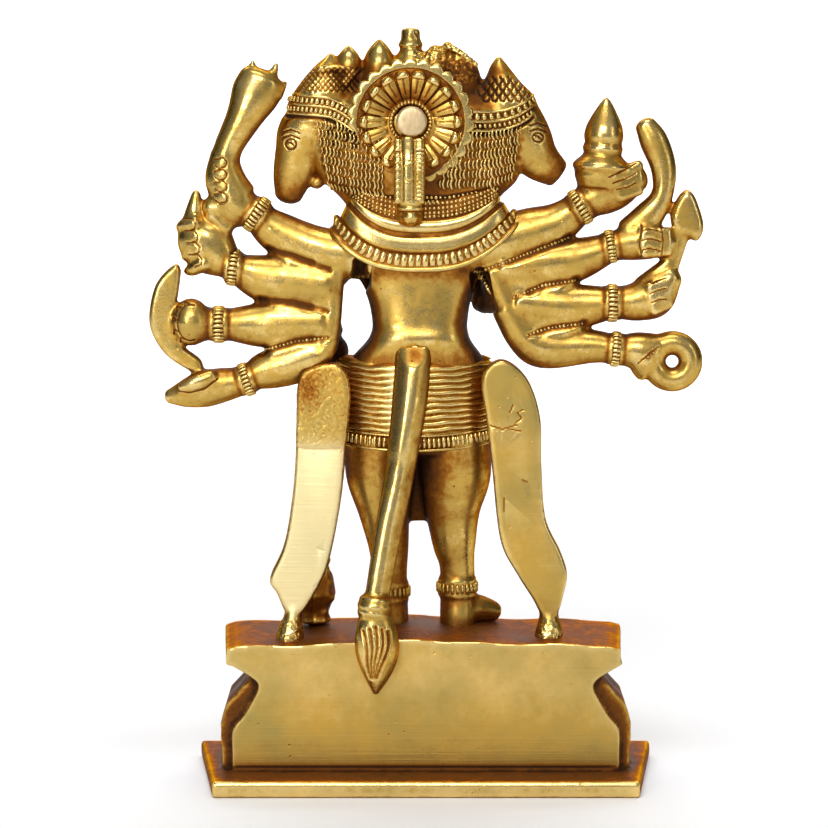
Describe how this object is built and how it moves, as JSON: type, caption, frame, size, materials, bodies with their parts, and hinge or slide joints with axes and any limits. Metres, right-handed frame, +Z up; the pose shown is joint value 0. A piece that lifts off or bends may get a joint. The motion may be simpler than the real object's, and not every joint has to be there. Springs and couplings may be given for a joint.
{
  "type": "panchmukhi hanuman idol",
  "caption": "Small cast brass idol of a many-faced, many-armed standing monkey god with sash ends and tail, on a lotus plinth that rests on its flat underside.",
  "frame": {"origin": "on the floor under the middle of the base slab", "axes": "+Z up; the figure faces -Y, so the wheel, tail and flat back face +Y; +X is the figure's left hand side"},
  "size_m": [0.1492, 0.049, 0.203],
  "materials": {
    "brass": "cast yellow brass with dark red-brown patina in the recesses, high spots buffed bright, ground flat at the back of the plinth and sash ends",
    "pale_metal": "paler metal, filed flat"
  },
  "bodies": {
    "root": {"idol": "brass", "rosette_pin": "pale_metal"}
  },
  "joints": []
}
